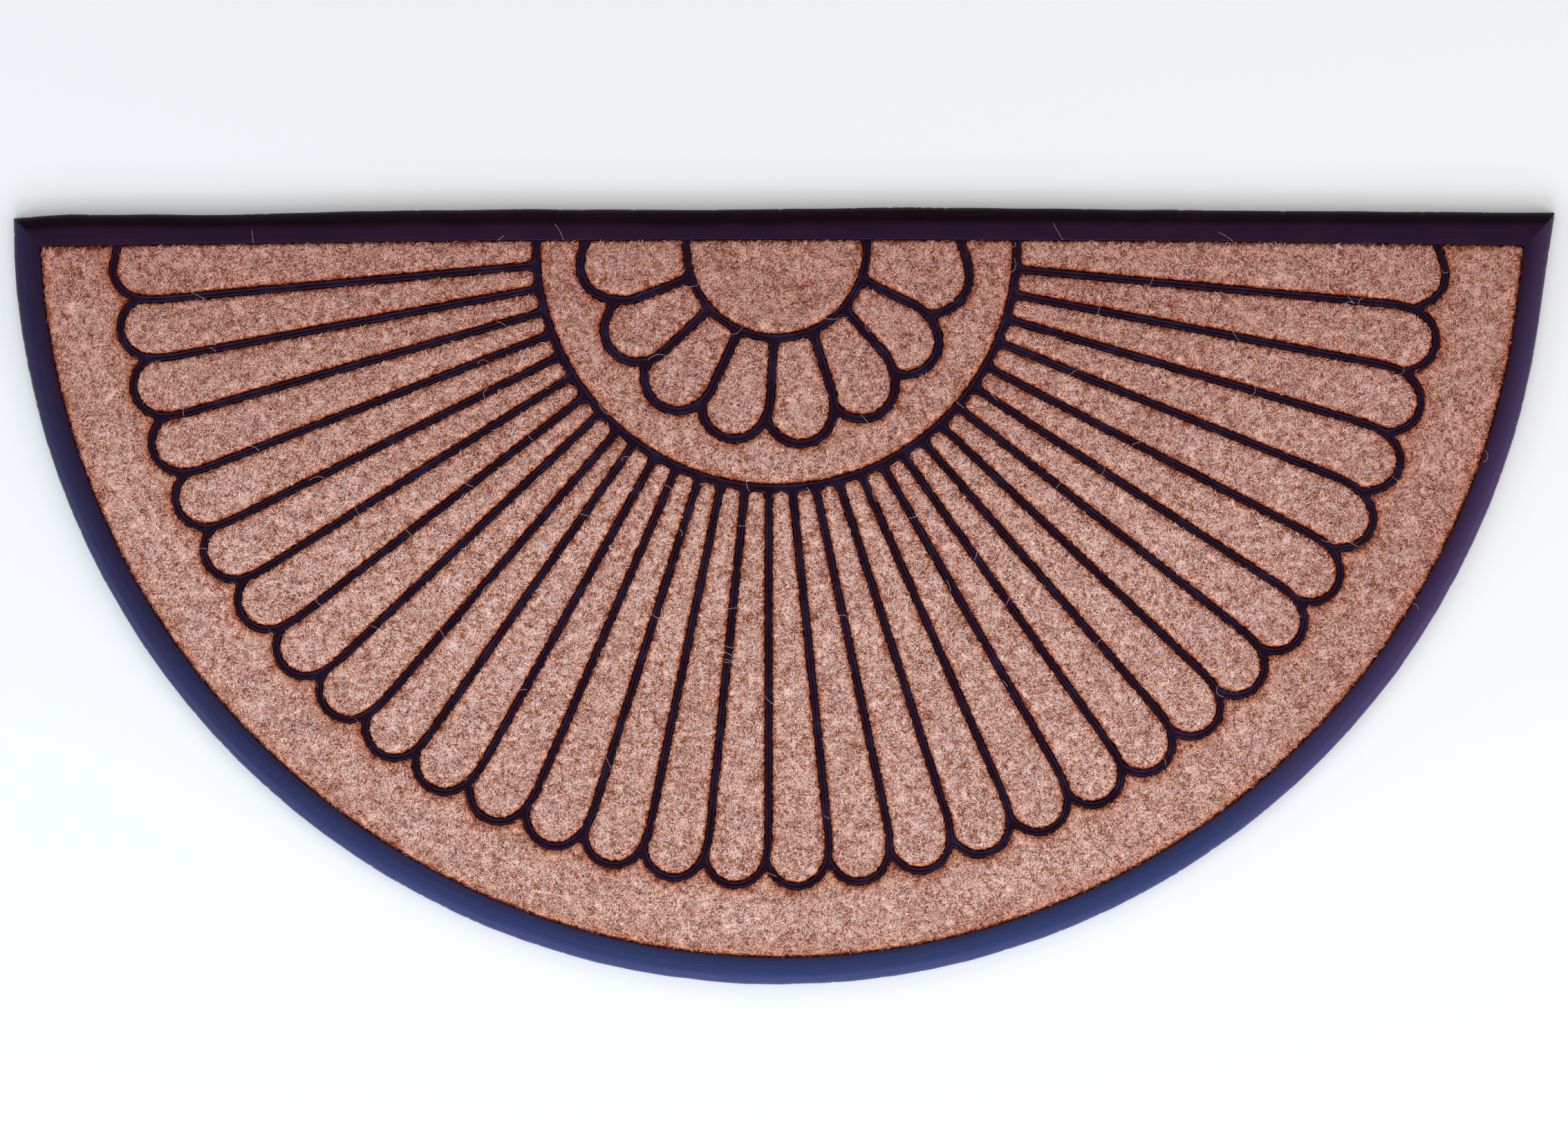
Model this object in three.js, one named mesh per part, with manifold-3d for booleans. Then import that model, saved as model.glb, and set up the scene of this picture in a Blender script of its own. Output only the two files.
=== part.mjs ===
// Half-round scraper doormat: one moulded rubber tray whose raised ribs draw an open fan,
// and a pad of coir pile in every compartment between the ribs.
// Millimetres, +Z up, straight edge towards +Y, round edge towards -Y.
// Plan sizes are drawn about the centre of the round edge; the finished mat is then centred.
// Angles are degrees clockwise from +X, seen from above.
import * as THREE from "three";
import { mergeVertices } from "three/addons/utils/BufferGeometryUtils.js";
import Module from "manifold-3d";

const wasm = await Module();
wasm.setup();

// Heights above the floor
const BASE_TOP = 2.5;
const RIB_TOP = 8.0;
const RIM_TOP = 9.0;
const PAD_TOP = 9.3;
const RIM_EDGE = 2.0;
const PAD_GAP = 0.35;
const CLEAR = 4;

// Outline of the tray
const MAT_WIDTH = 914.4;
const CORNER_FLARE = 5.4;
const FLARE_SPAN = 8;
const RIGHT_CORNER_ANGLE = -0.4;
const OUTER_RADIUS = (MAT_WIDTH - CORNER_FLARE) / 2;
const ROUND_EDGE_STEPS = 64;
const RIM_BEVEL = { width: 7.6, height: RIM_TOP - RIM_EDGE, steps: 3 };

// The straight edge wanders a little, as the trimmed rubber does
const STRAIGHT_EDGE = [
  { x: -420, y: 2.3 },
  { x: -327, y: 2.0 },
  { x: -250, y: 4.2 },
  { x: -155, y: 5.4 },
  { x: -44, y: 5.0 },
  { x: 79, y: 6.6 },
  { x: 264, y: 4.6 },
  { x: 399, y: 3.7 },
];

// Inner edge of the rim: an arc, and a straight side that bows towards the middle
const RECESS_CENTRE = new THREE.Vector2(0.8, 1.1);
const RECESS_RADIUS = 439.2;
const RECESS_FLARE = 2.3;
const RECESS_SIDE = { y: -12.8, sag: 3.9, middle: 20, halfLength: 440 };
const RECESS_SIDE_STEPS = 12;

// Ribs: the ring and the hub share one centre, the scallops stand about the outer one
const FAN_CENTRE = new THREE.Vector2(0, 0);
const RING_CENTRE = new THREE.Vector2(-1.8, -17.8);
const RING = { radius: 142.4, width: 4.2, steps: 40 };
const HUB = { radius: 53.6, width: 4.0, steps: 20 };
const RIB_BEVEL = { width: 0.8, height: 0.8, steps: 1 };
const ROOT_WEB = 1.7;
const ROOT_LENGTH = 5;
const RIM_OVERLAP_Y = -8;
const RIM_LEAN = 18;

// Long petals: 32 of them in the fan, each with a rib of its own that runs round its end
const LONG = {
  centre: FAN_CENTRE,
  reach: 378.2,
  radius: 17.9,
  width: 3.9,
  shoulder: 12,
  joinAngle: 24,
  petalShift: 0.25,
};
const FIRST_ROOT = -0.9;
const ROOT_RUNS = [
  { ribs: 8, step: 6.03 },
  { ribs: 8, step: 5.56 },
  { ribs: 16, step: 5.6 },
];
const FIRST_SCALLOP = 1.84;
const SCALLOP_RUNS = [
  { ribs: 1, step: 6.1 },
  { ribs: 5, step: 5.66 },
  { ribs: 5, step: 5.38 },
  { ribs: 5, step: 5.57 },
  { ribs: 10, step: 5.48 },
  { ribs: 6, step: 5.35 },
];

// Ribs that stand this many millimetres aside from the even spacing
const STRAY_RIBS = [
  { rib: 4, aside: -0.4 },
  { rib: 5, aside: 0.7 },
  { rib: 8, aside: -0.3 },
  { rib: 10, aside: 0.5 },
  { rib: 18, aside: 0.4 },
  { rib: 20, aside: 0.5 },
  { rib: 21, aside: 0.8 },
  { rib: 22, aside: 1.7 },
  { rib: 24, aside: 0.6 },
];

// Small petals about the hub: where each end circle stands, and where the rib on its right runs
const SMALL = { centre: RING_CENTRE, width: 4.5, shoulder: 6, joinAngle: 18, waist: 84 };
const SMALL_PETALS = [
  { angle: 10.2, reach: 93.2, radius: 22.7, atHub: 0, atWaist: 0 },
  { angle: 36.0, reach: 94.4, radius: 20.0, atHub: 20.4, atWaist: 22.4 },
  { angle: 58.2, reach: 95.7, radius: 20.2, atHub: 41.9, atWaist: 44.1 },
  { angle: 81.7, reach: 97.7, radius: 19.7, atHub: 66.7, atWaist: 68.6 },
  { angle: 104.9, reach: 97.3, radius: 19.4, atHub: 91.6, atWaist: 92.2 },
  { angle: 127.3, reach: 96.1, radius: 20.3, atHub: 114.5, atWaist: 114.6 },
  { angle: 149.7, reach: 95.7, radius: 19.7, atHub: 137.8, atWaist: 137.4 },
  { angle: 174.0, reach: 96.9, radius: 20.2, atHub: 160.8, atWaist: 160.2 },
];
const BUTT_ANGLE = 172;
const CURVE_STEPS = 4;

// Materials: blue-black rubber and tan coconut fibre
const RUBBER = { color: 0x24213f, roughness: 0.5, metalness: 0 };
const COIR = { color: 0xb88a72, roughness: 0.95, metalness: 0 };

function radians(degrees) {
  return (degrees * Math.PI) / 180;
}

function polar(centre, radius, degrees) {
  const angle = radians(degrees);
  return new THREE.Vector2(
    centre.x + radius * Math.cos(angle),
    centre.y - radius * Math.sin(angle),
  );
}

// Running angles from a first angle and runs of equal steps, with the stray ribs moved aside
function anglesOf(first, runs, radius) {
  const angles = [first];
  for (const run of runs) {
    for (let i = 0; i < run.ribs; i += 1) {
      angles.push(angles.at(-1) + run.step);
    }
  }
  for (const stray of STRAY_RIBS) {
    angles[stray.rib] += THREE.MathUtils.radToDeg(stray.aside / radius);
  }
  return angles;
}

function arcPoints(centre, radiusAt, from, to, steps) {
  const points = [];
  for (let i = 0; i <= steps; i += 1) {
    const angle = from + ((to - from) * i) / steps;
    points.push(polar(centre, radiusAt(angle), angle));
  }
  return points;
}

// Solids: three.js geometry in, cut and joined, three.js geometry out
function solidOf(geometry) {
  const bare = geometry.clone();
  bare.deleteAttribute("normal");
  bare.deleteAttribute("uv");
  const welded = mergeVertices(bare, 1e-4);
  const mesh = new wasm.Mesh({
    numProp: 3,
    vertProperties: welded.attributes.position.array,
    triVerts: new Uint32Array(welded.index.array),
  });
  return new wasm.Manifold(mesh);
}

function geometryOf(solid) {
  const mesh = solid.getMesh();
  const geometry = new THREE.BufferGeometry();
  geometry.setAttribute("position", new THREE.BufferAttribute(mesh.vertProperties, 3));
  geometry.setIndex(new THREE.BufferAttribute(mesh.triVerts, 1));
  geometry.computeVertexNormals();
  return geometry;
}

function prism(outline, low, high) {
  const shape = new THREE.Shape(outline);
  const geometry = new THREE.ExtrudeGeometry(shape, { depth: high - low, bevelEnabled: false });
  return solidOf(geometry.translate(0, 0, low));
}

// A prism whose upper and lower rims are bevelled inwards from the outline
function bevelledPrism(outline, low, high, bevel) {
  const geometry = new THREE.ExtrudeGeometry(new THREE.Shape(outline), {
    depth: high - low - 2 * bevel.height,
    bevelThickness: bevel.height,
    bevelSize: bevel.width,
    bevelOffset: -bevel.width,
    bevelSegments: bevel.steps,
  });
  return solidOf(geometry.translate(0, 0, low + bevel.height));
}

function joined(solids) {
  return solids.reduce((whole, solid) => whole.add(solid));
}

// Outline of the whole tray, with the round edge flaring out at the right-hand corner
function fadeOfFlare(degrees) {
  return Math.max(0, Math.min(1, 1 - degrees / FLARE_SPAN)) ** 2;
}

function trayOutline() {
  const radiusAt = (degrees) => OUTER_RADIUS + CORNER_FLARE * fadeOfFlare(degrees);
  const round = arcPoints(FAN_CENTRE, radiusAt, RIGHT_CORNER_ANGLE, 180, ROUND_EDGE_STEPS);
  const straight = STRAIGHT_EDGE.map((row) => new THREE.Vector2(row.x, row.y));
  return [...round, ...straight];
}

// Outline of the sunk field inside the rim, drawn in by a margin
function recessOutline(margin) {
  const sideAt = (x) => {
    const along = (x - RECESS_SIDE.middle) / RECESS_SIDE.halfLength;
    return RECESS_SIDE.y - RECESS_SIDE.sag * along * along - margin;
  };
  const radiusAt = (degrees) => RECESS_RADIUS + RECESS_FLARE * fadeOfFlare(degrees) - margin;
  const cornerAngle = (side) => {
    const height = RECESS_CENTRE.y - sideAt(side * RECESS_RADIUS);
    return THREE.MathUtils.radToDeg(Math.asin(height / RECESS_RADIUS));
  };
  const from = cornerAngle(1);
  const to = 180 - cornerAngle(-1);
  const round = arcPoints(RECESS_CENTRE, radiusAt, from, to, ROUND_EDGE_STEPS);
  const left = round.at(-1).x;
  const right = round[0].x;
  const side = [];
  for (let i = 1; i < RECESS_SIDE_STEPS; i += 1) {
    const x = left + ((right - left) * i) / RECESS_SIDE_STEPS;
    side.push(new THREE.Vector2(x, sideAt(x)));
  }
  return [...round, ...side];
}

// Where the line from a along headingA meets the line through b along headingB
function crossing(a, headingA, b, headingB) {
  const gap = b.clone().sub(a);
  const along = gap.cross(headingB) / headingA.cross(headingB);
  return a.clone().addScaledVector(headingA, along);
}

// Middle line of a rib that leaves its root, bends at the shoulder and runs round its petal's end
function petalRib(root, heading, petal, style) {
  const sideAngle = petal.angle - 90;
  const centre = polar(style.centre, petal.reach, petal.angle);
  const joinAngle = sideAngle + style.joinAngle;
  const join = polar(centre, petal.radius, joinAngle);
  const tangent = polar(join, 1, joinAngle + 90).sub(join);
  const corner = crossing(root, heading, join, tangent);
  const shoulder = corner.clone().addScaledVector(heading, -style.shoulder);
  const rootEnd = root.clone().addScaledVector(heading, ROOT_LENGTH);
  const path = new THREE.Path();
  path.moveTo(root.x, root.y);
  path.lineTo(rootEnd.x, rootEnd.y);
  path.lineTo(shoulder.x, shoulder.y);
  path.quadraticCurveTo(corner.x, corner.y, join.x, join.y);
  const end = petal.meetsRim ? 180 + RIM_LEAN : sideAngle + BUTT_ANGLE;
  path.absarc(centre.x, centre.y, petal.radius, -radians(joinAngle), -radians(end), true);
  const points = path.getPoints(CURVE_STEPS);
  return petal.meetsRim ? [...points, towardsRim(points.at(-1), 180 + RIM_LEAN)] : points;
}

// From the top of an end petal a rib leans a little inwards up to the rim and ends inside it
function towardsRim(from, side) {
  const lean = Math.sign(Math.cos(radians(side))) * Math.tan(radians(RIM_LEAN));
  const rise = RIM_OVERLAP_Y - from.y;
  return new THREE.Vector2(from.x - lean * rise, RIM_OVERLAP_Y);
}

// Middle line of the rib that starts at the rim and runs round the first petal on the right
function firstRib(petal, style) {
  const centre = polar(style.centre, petal.reach, petal.angle);
  const path = new THREE.Path();
  const from = -RIM_LEAN;
  const to = petal.angle - 90 + BUTT_ANGLE;
  path.absarc(centre.x, centre.y, petal.radius, -radians(from), -radians(to), true);
  const points = path.getPoints(CURVE_STEPS);
  return [towardsRim(points[0], RIM_LEAN), ...points];
}

// The place on a rib's middle line that lies nearest to a point, and how many of its points come before
function footOn(line, from) {
  const feet = line.slice(1).map((end, i) => {
    const run = end.clone().sub(line[i]);
    const share = from.clone().sub(line[i]).dot(run) / run.lengthSq();
    const point = line[i].clone().addScaledVector(run, THREE.MathUtils.clamp(share, 0, 1));
    return { point, before: i + 1, gap: point.distanceTo(from) };
  });
  return feet.reduce((best, foot) => (foot.gap < best.gap ? foot : best));
}

// Each rib that ends at its neighbour is carried to the middle of it
function buttedOn(lines) {
  return lines.map((line, k) => {
    const next = lines[k + 1];
    return next ? [...line.slice(0, -1), footOn(next, line.at(-1)).point] : line;
  });
}

// Plan of a rib: its middle line drawn out to both sides, wider at its root
function ribbon(points, halfWidth, web) {
  const left = [];
  const right = [];
  points.forEach((point, i) => {
    const before = points[Math.max(i - 1, 0)];
    const after = points[Math.min(i + 1, points.length - 1)];
    const across = after.clone().sub(before).normalize();
    const half = i === 0 ? halfWidth + web : halfWidth;
    left.push(new THREE.Vector2(point.x - across.y * half, point.y + across.x * half));
    right.unshift(new THREE.Vector2(point.x + across.y * half, point.y - across.x * half));
  });
  return [...left, ...right];
}

// An arc rib about the ring centre, running into the rim at both ends
function ringRib(ring) {
  const rise = RIM_OVERLAP_Y - RING_CENTRE.y;
  const overrun = THREE.MathUtils.radToDeg(Math.asin(rise / ring.radius));
  return arcPoints(RING_CENTRE, () => ring.radius, -overrun, 180 + overrun, ring.steps);
}

// The rib lines of the long petals
const rootAngles = anglesOf(FIRST_ROOT, ROOT_RUNS, RING.radius);
const scallopAngles = anglesOf(FIRST_SCALLOP, SCALLOP_RUNS, LONG.reach);
const longPetals = scallopAngles.slice(0, -1).map((angle, k) => ({
  angle: (angle + scallopAngles[k + 1]) / 2 + LONG.petalShift,
  reach: LONG.reach,
  radius: LONG.radius,
  meetsRim: k === scallopAngles.length - 2,
}));
const longRibs = buttedOn(
  longPetals.map((petal, k) => {
    if (k === 0) {
      return firstRib(petal, LONG);
    }
    const root = polar(RING_CENTRE, RING.radius, rootAngles[k]);
    const end = polar(FAN_CENTRE, LONG.reach, scallopAngles[k]);
    return petalRib(root, end.sub(root).normalize(), petal, LONG);
  }),
);

// The rib lines of the small petals
const smallRibs = buttedOn(
  SMALL_PETALS.map((row, k) => {
    const petal = { ...row, meetsRim: k === SMALL_PETALS.length - 1 };
    if (k === 0) {
      return firstRib(petal, SMALL);
    }
    const root = polar(RING_CENTRE, HUB.radius, row.atHub);
    const waist = polar(RING_CENTRE, SMALL.waist, row.atWaist);
    return petalRib(root, waist.sub(root).normalize(), petal, SMALL);
  }),
);

const ringLine = ringRib(RING);
const hubLine = ringRib(HUB);

// Every rib with its width; only a rib that grows from a ring has a web at its root
const ribs = [
  ...longRibs.map((points, k) => ({ points, width: LONG.width, web: k ? ROOT_WEB : 0 })),
  ...smallRibs.map((points, k) => ({ points, width: SMALL.width, web: k ? ROOT_WEB : 0 })),
  { points: ringLine, width: RING.width, web: 0 },
  { points: hubLine, width: HUB.width, web: 0 },
];

// The rubber tray: bevelled rim, sunk field and ribs, one moulding
function trayGeometry() {
  const blank = bevelledPrism(trayOutline(), -RIM_BEVEL.height, RIM_TOP, RIM_BEVEL);
  const under = new THREE.BoxGeometry(2 * MAT_WIDTH, 2 * MAT_WIDTH, RIM_TOP);
  const slab = blank.subtract(solidOf(under.translate(0, 0, -RIM_TOP / 2)));
  const field = prism(recessOutline(0), BASE_TOP, RIM_TOP + CLEAR);
  const ribSolids = ribs.map((rib) => {
    const plan = ribbon(rib.points, rib.width / 2, rib.web);
    return bevelledPrism(plan, BASE_TOP / 4, RIB_TOP, RIB_BEVEL);
  });
  return geometryOf(slab.subtract(field).add(joined(ribSolids)));
}

// A closed plan drawn from rib middle lines, cut free of every rib and of the rim
const padField = prism(recessOutline(PAD_GAP), BASE_TOP + PAD_GAP, PAD_TOP);
const ribSpace = joined(
  ribs.map((rib) => {
    const plan = ribbon(rib.points, rib.width / 2 + PAD_GAP, rib.web);
    return prism(plan, 0, PAD_TOP + CLEAR);
  }),
);

function block(outline) {
  return prism(outline, 0, PAD_TOP + CLEAR);
}

function padFrom(solid) {
  return geometryOf(padField.intersect(solid).subtract(ribSpace));
}

// The stretch of a rib between its root and the place where its neighbour butts on, run backwards
function backAlong(rib, from) {
  return rib.slice(0, footOn(rib, from).before).reverse();
}

// Blocks of the petals: round the end along the rib, and back down the next rib to its root
function petalBlocks(lines, ringLimits) {
  return lines.map((line, k) => {
    const start = k === 0 ? [ringLimits.right] : [];
    const next = lines[k + 1];
    const back = next ? backAlong(next, line.at(-1)) : [ringLimits.left];
    return block([...start, ...line, ...back]);
  });
}

const longBlocks = petalBlocks(longRibs, { right: ringLine[0], left: ringLine.at(-1) });
const smallBlocks = petalBlocks(smallRibs, { right: hubLine[0], left: hubLine.at(-1) });
const ringBlock = block(ringLine);
const hubBlock = block(hubLine);
const wholeBlock = block(recessOutline(0));

const mat = new THREE.Group();

function place(name, geometry, finish) {
  const mesh = new THREE.Mesh(geometry, new THREE.MeshStandardMaterial(finish));
  mesh.name = name;
  mat.add(mesh);
}

place("tray", trayGeometry(), RUBBER);
place("outer_field", padFrom(wholeBlock.subtract(joined([...longBlocks, ringBlock]))), COIR);
longBlocks.forEach((solid, k) => {
  place(`long_petal_${String(k + 1).padStart(2, "0")}`, padFrom(solid), COIR);
});
place("ring_band", padFrom(ringBlock.subtract(joined([...smallBlocks, hubBlock]))), COIR);
smallBlocks.forEach((solid, k) => {
  place(`small_petal_${k + 1}`, padFrom(solid), COIR);
});
place("hub_pad", padFrom(hubBlock), COIR);

// The origin is under the middle of the mat, on the floor
const middle = new THREE.Box3().setFromObject(mat).getCenter(new THREE.Vector3());
mat.position.set(-middle.x, -middle.y, 0);

export default mat;
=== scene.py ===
"""Half-round scraper doormat: a moulded rubber tray with raised ribs, filled with coir pile."""

import math

import bmesh
import bpy
import numpy as np
from bpy.props import FloatProperty, FloatVectorProperty, IntProperty, PointerProperty
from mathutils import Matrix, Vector
from mathutils.geometry import delaunay_2d_cdt
from mathutils.kdtree import KDTree


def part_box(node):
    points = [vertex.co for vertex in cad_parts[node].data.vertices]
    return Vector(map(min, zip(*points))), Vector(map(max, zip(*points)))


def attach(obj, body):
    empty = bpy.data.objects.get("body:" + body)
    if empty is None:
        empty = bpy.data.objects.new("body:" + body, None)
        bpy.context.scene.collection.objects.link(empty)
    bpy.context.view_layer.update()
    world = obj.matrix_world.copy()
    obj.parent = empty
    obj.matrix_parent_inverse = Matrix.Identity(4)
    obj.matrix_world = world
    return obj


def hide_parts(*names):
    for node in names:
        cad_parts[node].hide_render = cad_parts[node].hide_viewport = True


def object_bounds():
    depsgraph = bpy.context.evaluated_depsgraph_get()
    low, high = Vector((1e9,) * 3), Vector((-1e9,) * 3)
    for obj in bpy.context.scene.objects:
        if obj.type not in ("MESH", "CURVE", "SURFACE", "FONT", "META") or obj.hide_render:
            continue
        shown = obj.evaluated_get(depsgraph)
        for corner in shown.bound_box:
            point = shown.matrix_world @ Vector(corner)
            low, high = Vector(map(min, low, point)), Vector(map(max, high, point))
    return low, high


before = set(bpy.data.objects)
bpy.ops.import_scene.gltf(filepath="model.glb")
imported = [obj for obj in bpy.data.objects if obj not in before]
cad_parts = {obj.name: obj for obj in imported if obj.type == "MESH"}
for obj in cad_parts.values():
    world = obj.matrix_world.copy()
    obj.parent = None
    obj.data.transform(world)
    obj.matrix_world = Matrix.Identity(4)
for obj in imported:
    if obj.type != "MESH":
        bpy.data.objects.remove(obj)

bl_info = {
    "name": "Half-Round Doormat",
    "version": (1, 0, 0),
    "blender": (4, 5, 0),
    "location": "3D View > Sidebar > Doormat",
    "description": "Models a moulded rubber doormat with coir pile in the compartments of a shell fan",
    "category": "Add Mesh",
}

MM = 0.001
CAD_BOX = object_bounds()

# Pads of the mat by the names of their frame nodes
LONG_PETALS = sorted(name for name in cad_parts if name.startswith("long_petal"))
SMALL_PETALS = sorted(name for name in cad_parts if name.startswith("small_petal"))
WIDE_PADS = ["outer_field", "ring_band", "hub_pad"]

# Heights that the frame gives, and where it is cut for its lines in plan
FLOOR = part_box("tray")[0].z
RIM_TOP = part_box("tray")[1].z
PAD_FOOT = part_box("hub_pad")[0].z
PAD_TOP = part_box("hub_pad")[1].z
OUTLINE_CUT = 1.0 * MM
COMPARTMENT_CUT = 5.0 * MM
RIM_CUT = 8.5 * MM

# Distances under which points are taken as one: in the frame's meshes, at a cut, and in the mat's own
FRAME_WELD = 0.002 * MM
CUT_WELD = 0.0001 * MM
WELD = 0.001 * MM

# Seeds of the random draws; each pad has one of its own, from its name
TRAY_SEED = 11
STRAY_SEED = 29

# Lines and smooth random fields in plan
FEWEST_POINTS = 12
RIPPLE_WAVES = 9
RIPPLE_LENGTHS = (0.7, 1.5)

# Section of a rib's side, from the compartment's foot over the ridge into the groove along its middle:
# how far it has come into the rubber, and its height, in millimetres
RIB_SECTION = [
    {"into": 0.00, "height": 2.50},
    {"into": 0.00, "height": 7.05},
    {"into": 0.20, "height": 7.60},
    {"into": 0.55, "height": 7.94},
    {"into": 0.85, "height": 8.00},
    {"into": 1.20, "height": 7.84},
    {"into": 1.55, "height": 7.35},
]
RIB_SPACING = 1.2 * MM
LONGEST_RIB_STEP = 9 * MM
RIB_TURN = 7
RIB_SOFTENING = 3

# Section of the rim, in shares of its width from the outer edge inwards, and the trimmed edge, whose
# nicks count in wanders of the edge
RIM_FOOT = 1.9 * MM
BEVEL_SHARE = {"round": 0.50, "straight": 0.44}
BEVEL_STEPS = 6
FLAT_FALL = 0.12 * MM
LIP_RADIUS = 0.7 * MM
LIP_STEPS = 2
WALL_PROUD = 0.12 * MM
WALL_FOOT = 2.2 * MM
PLATE_SHARE = 0.55
ROUND_POINTS = 900
STRAIGHT_POINTS = 420
SHARE_BLUR = 14
HARD_TURN = math.radians(50)
NICK_SHARE = 0.11
NICK_DEPTHS = (0.5, 4)
EDGE_WAVE = 50 * MM

# Noises of the materials: a scale counts steps in a metre, and is 1 where the place is scaled before
NOISES = {
    "streaks": {"scale": 1.0, "detail": 3.0},
    "clouds": {"scale": 38.0, "detail": 4.0},
    "patches": {"scale": 75.0, "detail": 2.0},
    "grain": {"scale": 1900.0, "detail": 3.0},
    "strokes": {"scale": 1.0, "detail": 1.0},
    "specks": {"scale": 520.0, "detail": 2.0},
}
NOISE_ROUGHNESS = 0.55

# Finish of the rubber. A pair gives the values between which a part of the finish comes in from 0 to 1,
# and a row of four gives them with the two values that they are stretched to
STREAK_ALONG = 7.0
STREAK_ACROSS = 1100.0
# Painted shade: below these heights the rubber turns to the shade colour, low on the ribs and in their
# grooves. The edge range below puts painted shade over the straight side's outer slope, which faces away
# from the light
UNSHADED_HEIGHTS = (7.3 * MM, 8.0 * MM)
SHADED_SLOPE_EDGE = (12 * MM, 8 * MM)
NAVY_PATCHES = (0.52, 0.74, 0.0, 0.28)
SOOTY_PATCHES = (0.47, 0.32, 0.0, 0.7)
DUSTY_CLOUDS = (0.42, 0.72)
DUSTY_STREAKS = (0.35, 0.75)
# Painted reflection: a navy sheen of the sky on the round edge's outer slope, stronger to the front,
# where the light comes from, and plum at its right end
SHEEN_SLOPE = (25 * MM, 10 * MM)
SHEEN_BACK_TO_FRONT = (0.25, -0.20, 0.25, 1.0)
SHEEN_TILT = -0.15
ABOVE_FLOOR = (FLOOR + 0.05 * MM, FLOOR + 0.6 * MM)
PLUM_X = (0.25, 0.40)
STREAK_LIGHT = (0.3, 0.7, 0.86, 1.16)
ROUGH_CLOUDS = (0.3, 0.7, -0.06, 0.08)
SHINE_OF_SLOPE = (0.0, 1.0, 0.34, 0.12)
SHINE_TINT = (0.42, 0.23, 0.66)
STREAK_RELIEF = 0.25
RUBBER_RELIEF_DEPTH = 0.05 * MM
RUBBER_RELIEF_STRENGTH = 0.6

# Body of a pad; a tone is 0 for the deepest fibre and 1 for the palest
LINE_SPACING = 1.5 * MM
PAD_SOFTENING = 2
RAGGED = 0.2 * MM
RAGGED_WAVE = 4 * MM
RAGGED_LIMITS = (-2.5, 1.2)
GRID_SPACING = 3.0 * MM
GRID_JITTER = 0.22
GRID_CLEAR = 1.0 * MM
BODY_TOP = PAD_TOP - 0.9 * MM
EDGE_ROUND = 2.2 * MM
EDGE_DROP = 1.75 * MM
LUMP_LENGTHS = (9 * MM, 26 * MM)
# Painted shade: the body's low tone stands for the pile in shadow down between the fibre ends, and the
# crevice tone darkens its border as the shadowed crevice along the rib
BODY_TONE = 0.40
BODY_TONE_SCATTER = 0.14
CREVICE_TONE = -0.22
CREVICE_REACH = 0.8 * MM
# Painted shade along the ribs: how far it reaches into each pad
RIB_SHADE_REACH = {"outer_field": 3.1 * MM, "ring_band": 2.3 * MM}
USUAL_RIB_SHADE_REACH = 1.2 * MM

# Fibre ends that stand out of the pile: lengths and widths as shares of the settings, rises in degrees,
# and for swirls and blotches how long they are and how much they count
LENGTH_SCATTER = 0.22
LENGTH_LIMITS = (0.5, 1.6)
WIDTH_SHARES = (0.7, 1.15)
RISES = (8, 38)
SWIRLS = ((22 * MM, 1.4), (7 * MM, 1.0))
HEADING_SCATTER = 0.42
OVERHANG = 0.6 * MM
LEAN_BACK = 0.5
BENT_SHARE = 0.12
BOW_SCATTER = 0.13
LIFT_SHARES = (0.02, 0.16)
ROOT_DEPTH = 0.45 * MM
BLOTCHES = ((60 * MM, 0.04), (22 * MM, 0.06), (8 * MM, 0.11), (3.5 * MM, 0.16))
FIBRE_TONE = 0.77
FIBRE_TONE_SCATTER = 0.34
PALEST_TONE = 1.2
# Shares of painted shade along the ribs on each fibre end
RIB_SHADE_SHARES = (0.8, 1.6)

# Finish of the coir: its strokes in steps to a metre, and pairs and rows of four as for the rubber
STROKE_ALONG = 480
STROKE_ACROSS = 1600
STROKE_ANGLES = (15, 77, 138)
STROKE_TONES = (0.46, 0.72, -0.42, 0.34)
PALE_TONES = (0.5, 1.0)
DEEP_TONES = (0.52, 0.08)
# Painted shade: dark specks for the gaps between the fibres
SPECK_NOISE = (0.67, 0.75)
# Painted shade at the back and the right, where less light falls
SHADE_Y = (0.03, 0.19)
SHADE_X = (0.24, 0.42)
COIR_ROUGHNESS = 0.75
COIR_SHINE = 0.15
COIR_RELIEF_DEPTH = 0.5 * MM
COIR_RELIEF_STRENGTH = 1.0

# Loose fibres, which rise from a little inside the pile to a little above it
STRAY_LENGTHS = (4 * MM, 12 * MM)
STRAY_RADIUS = 0.065 * MM
STRAY_STEPS = 9
STRAY_START = -0.4 * MM
STRAY_HEIGHT = 0.15 * MM
STRAY_CLIMB = 1.4
STRAY_CREST = 0.72
STRAY_SCATTER = 0.8
STRAY_TURN = 1.1
STRAY_TONE = 0.8

# The photograph's frame: its width, the mat's width in it, and how far the mat stands below its middle
PHOTO_WIDTH = 2268
MAT_PIXELS = 2227
MAT_BELOW_MIDDLE = 41
SENSOR_WIDTH = 36

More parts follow.
